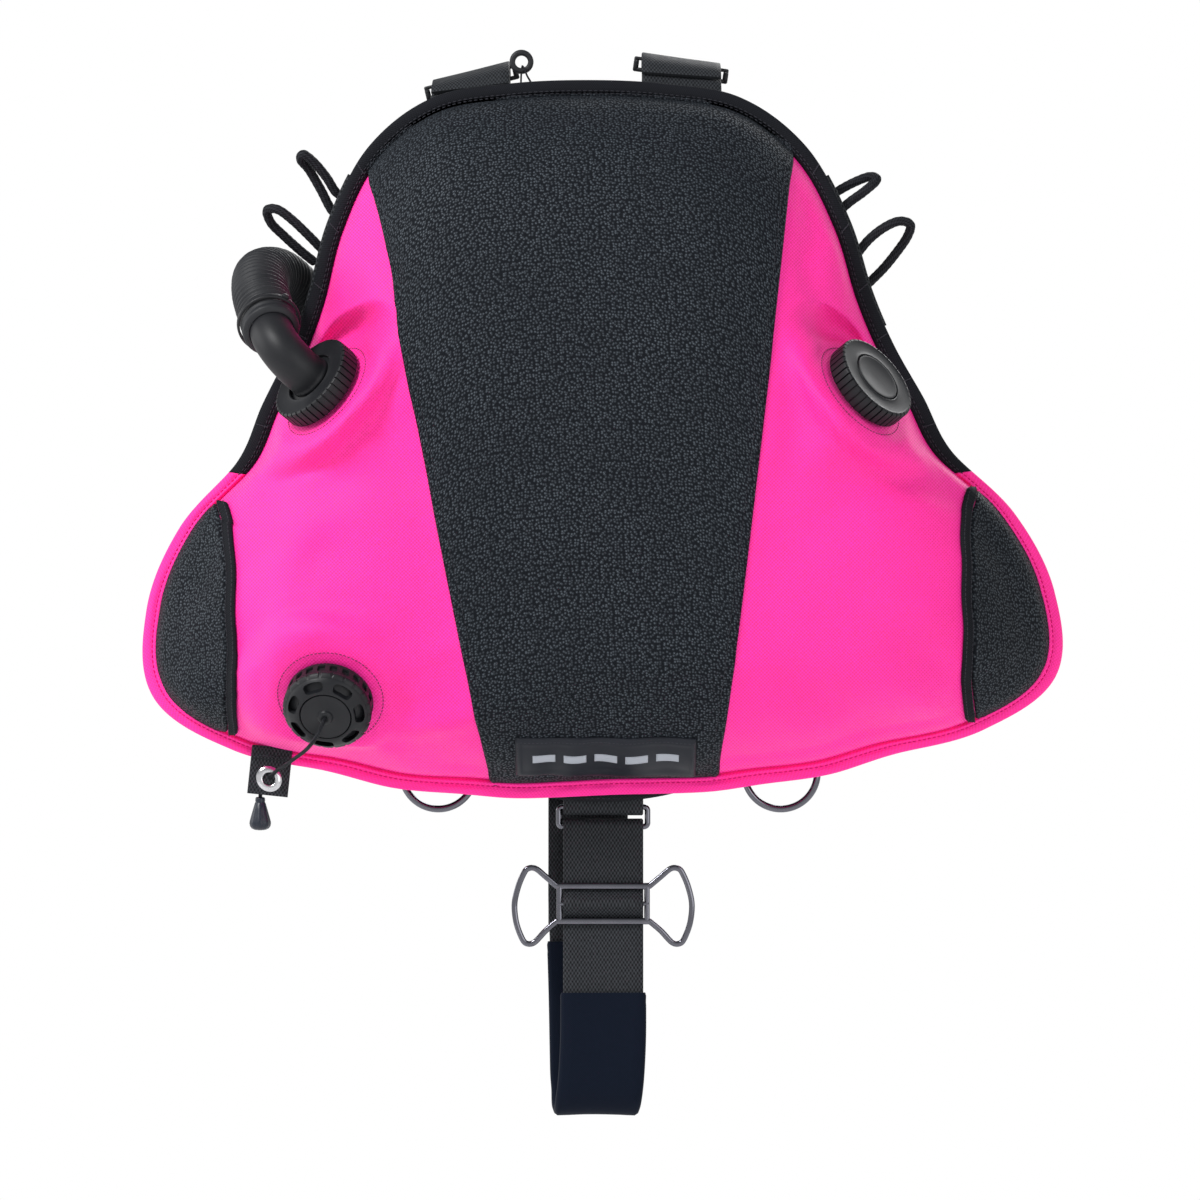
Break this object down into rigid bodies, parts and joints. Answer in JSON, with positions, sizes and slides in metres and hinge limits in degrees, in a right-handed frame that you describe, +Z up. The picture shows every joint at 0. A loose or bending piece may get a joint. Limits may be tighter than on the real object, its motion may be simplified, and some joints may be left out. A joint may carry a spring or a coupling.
{
  "type": "buoyancy compensator vest",
  "caption": "Sidemount buoyancy compensator: an inflatable wing on a webbing harness, with an inflator hose, a pull dump valve and a crotch strap with a steel rail.",
  "frame": {"origin": "middle of the back pad's face, the side that lies against the diver", "axes": "+Z up the diver's back, +Y towards the diver, so the wing's outer face looks along -Y"},
  "size_m": [0.5796, 0.2824, 0.6676],
  "materials": {
    "pink_cloth": "satin",
    "pink_binding": "satin",
    "black_binding": "matte",
    "dotted_cloth": "satin",
    "black_cloth": "matte",
    "padding": "matte",
    "webbing": "satin",
    "shock_cord": "matte",
    "bladder_film": "satin",
    "patch_rubber": "satin",
    "hose_rubber": "satin",
    "black_plastic": "satin",
    "knob_plastic": "satin",
    "deflate_plastic": "satin",
    "inflate_plastic": "satin",
    "steel": "polished"
  },
  "bodies": {
    "vest": {"wing_cover": "pink_cloth", "hem_binding": "pink_binding", "edge_binding": "black_binding", "tip_bindings": "black_binding", "centre_panel": "dotted_cloth", "left_tip_panel": "dotted_cloth", "right_tip_panel": "dotted_cloth", "wing_back_panel": "black_cloth", "harness_panel": "black_cloth", "butt_pad": "black_cloth", "back_pad": "padding", "cord_tab": "webbing", "bungee_sleeves": "webbing", "left_shoulder_strap": "webbing", "right_shoulder_strap": "webbing", "left_waist_strap": "webbing", "right_waist_strap": "webbing", "chest_keepers": "webbing", "webbing_tabs": "webbing", "left_bungee_loops": "shock_cord", "right_bungee_loops": "shock_cord", "pull_cord": "shock_cord", "ring_cord": "shock_cord", "air_bladder": "bladder_film", "name_patch": "patch_rubber", "inflator_hose": "hose_rubber", "mouthpiece": "hose_rubber", "port_gaskets": "hose_rubber", "elbow_flange": "black_plastic", "blank_flange": "black_plastic", "dump_flange": "black_plastic", "elbow": "black_plastic", "blank_plug": "black_plastic", "hose_bands": "black_plastic", "inflator_body": "black_plastic", "left_slider": "black_plastic", "right_slider": "black_plastic", "strap_ring": "black_plastic", "cord_grommet": "steel", "inflator_nipple": "steel", "buckle_frame": "steel"},
    "elbow_ring": {"elbow_ring": "black_plastic"},
    "blank_ring": {"blank_ring": "black_plastic"},
    "dump_cap": {"dump_cap": "black_plastic", "dump_hub": "black_plastic"},
    "dump_poppet": {"dump_poppet": "black_plastic", "dump_spring": "steel"},
    "pull_knob": {"pull_knob": "knob_plastic"},
    "inflate_button": {"inflate_button": "inflate_plastic"},
    "deflate_button": {"deflate_button": "deflate_plastic"},
    "buckle_lever": {"buckle_lever": "steel"},
    "left_hip_ring": {"left_hip_ring": "steel"},
    "right_hip_ring": {"right_hip_ring": "steel"},
    "left_chest_ring": {"left_chest_ring": "steel"},
    "right_chest_ring": {"right_chest_ring": "steel"},
    "crotch": {"crotch_ring": "steel", "crotch_strap": "webbing", "crotch_pad": "padding", "tail_rail": "steel"}
  },
  "joints": [
    {"name": "elbow_ring_turn", "type": "hinge", "parent": "vest", "child": "elbow_ring", "pos_m": [-0.168, -0.05967, 0.029], "axis": [-0.6631, -0.5, 0.5571], "range_deg": [0, 360]},
    {"name": "blank_ring_turn", "type": "hinge", "parent": "vest", "child": "blank_ring", "pos_m": [0.16, -0.06084, 0.029], "axis": [0.6631, -0.5, 0.5571], "range_deg": [0, 360]},
    {"name": "dump_cap_turn", "type": "hinge", "parent": "vest", "child": "dump_cap", "pos_m": [-0.165, -0.07553, -0.159], "axis": [-0.1002, -0.8415, -0.5309], "range_deg": [0, 360]},
    {"name": "dump_poppet_lift", "type": "slide", "parent": "vest", "child": "dump_poppet", "axis": [-0.1002, -0.8415, -0.5309], "range_m": [0, 0.004], "stiffness_N_per_m": 400, "springref_m": -0.002},
    {"name": "pull_knob_pull", "type": "slide", "parent": "vest", "child": "pull_knob", "axis": [0, 0, -1], "range_m": [0, 0.004], "stiffness_N_per_m": 100, "springref_m": -0.002},
    {"name": "inflate_button_press", "type": "slide", "parent": "vest", "child": "inflate_button", "axis": [0, -1, 0], "range_m": [0, 0.003], "stiffness_N_per_m": 400, "springref_m": -0.002},
    {"name": "deflate_button_press", "type": "slide", "parent": "vest", "child": "deflate_button", "axis": [0, 0, 1], "range_m": [0, 0.004], "stiffness_N_per_m": 400, "springref_m": -0.002},
    {"name": "buckle_lever_swing", "type": "hinge", "parent": "vest", "child": "buckle_lever", "pos_m": [0.019, 0.1724, -0.152], "axis": [0, 0, -1], "range_deg": [0, 100]},
    {"name": "left_hip_ring_swing", "type": "hinge", "parent": "vest", "child": "left_hip_ring", "pos_m": [-0.101, -0.0022, -0.203], "axis": [1, 0, 0], "range_deg": [-10, 110]},
    {"name": "right_hip_ring_swing", "type": "hinge", "parent": "vest", "child": "right_hip_ring", "pos_m": [0.113, -0.0022, -0.203], "axis": [1, 0, 0], "range_deg": [-10, 110]},
    {"name": "left_chest_ring_swing", "type": "hinge", "parent": "vest", "child": "left_chest_ring", "pos_m": [-0.0965, 0.155, 0.092], "axis": [1, 0, 0], "range_deg": [-4, 110]},
    {"name": "right_chest_ring_swing", "type": "hinge", "parent": "vest", "child": "right_chest_ring", "pos_m": [0.0815, 0.155, 0.092], "axis": [1, 0, 0], "range_deg": [-4, 110]},
    {"name": "crotch_swing", "type": "hinge", "parent": "vest", "child": "crotch", "pos_m": [0.002, -0.0022, -0.2285], "axis": [1, 0, 0], "range_deg": [-45, 50]}
  ],
  "couplings": [
    {"joint": "dump_poppet_lift", "follows": "pull_knob_pull", "ratio": 1}
  ]
}
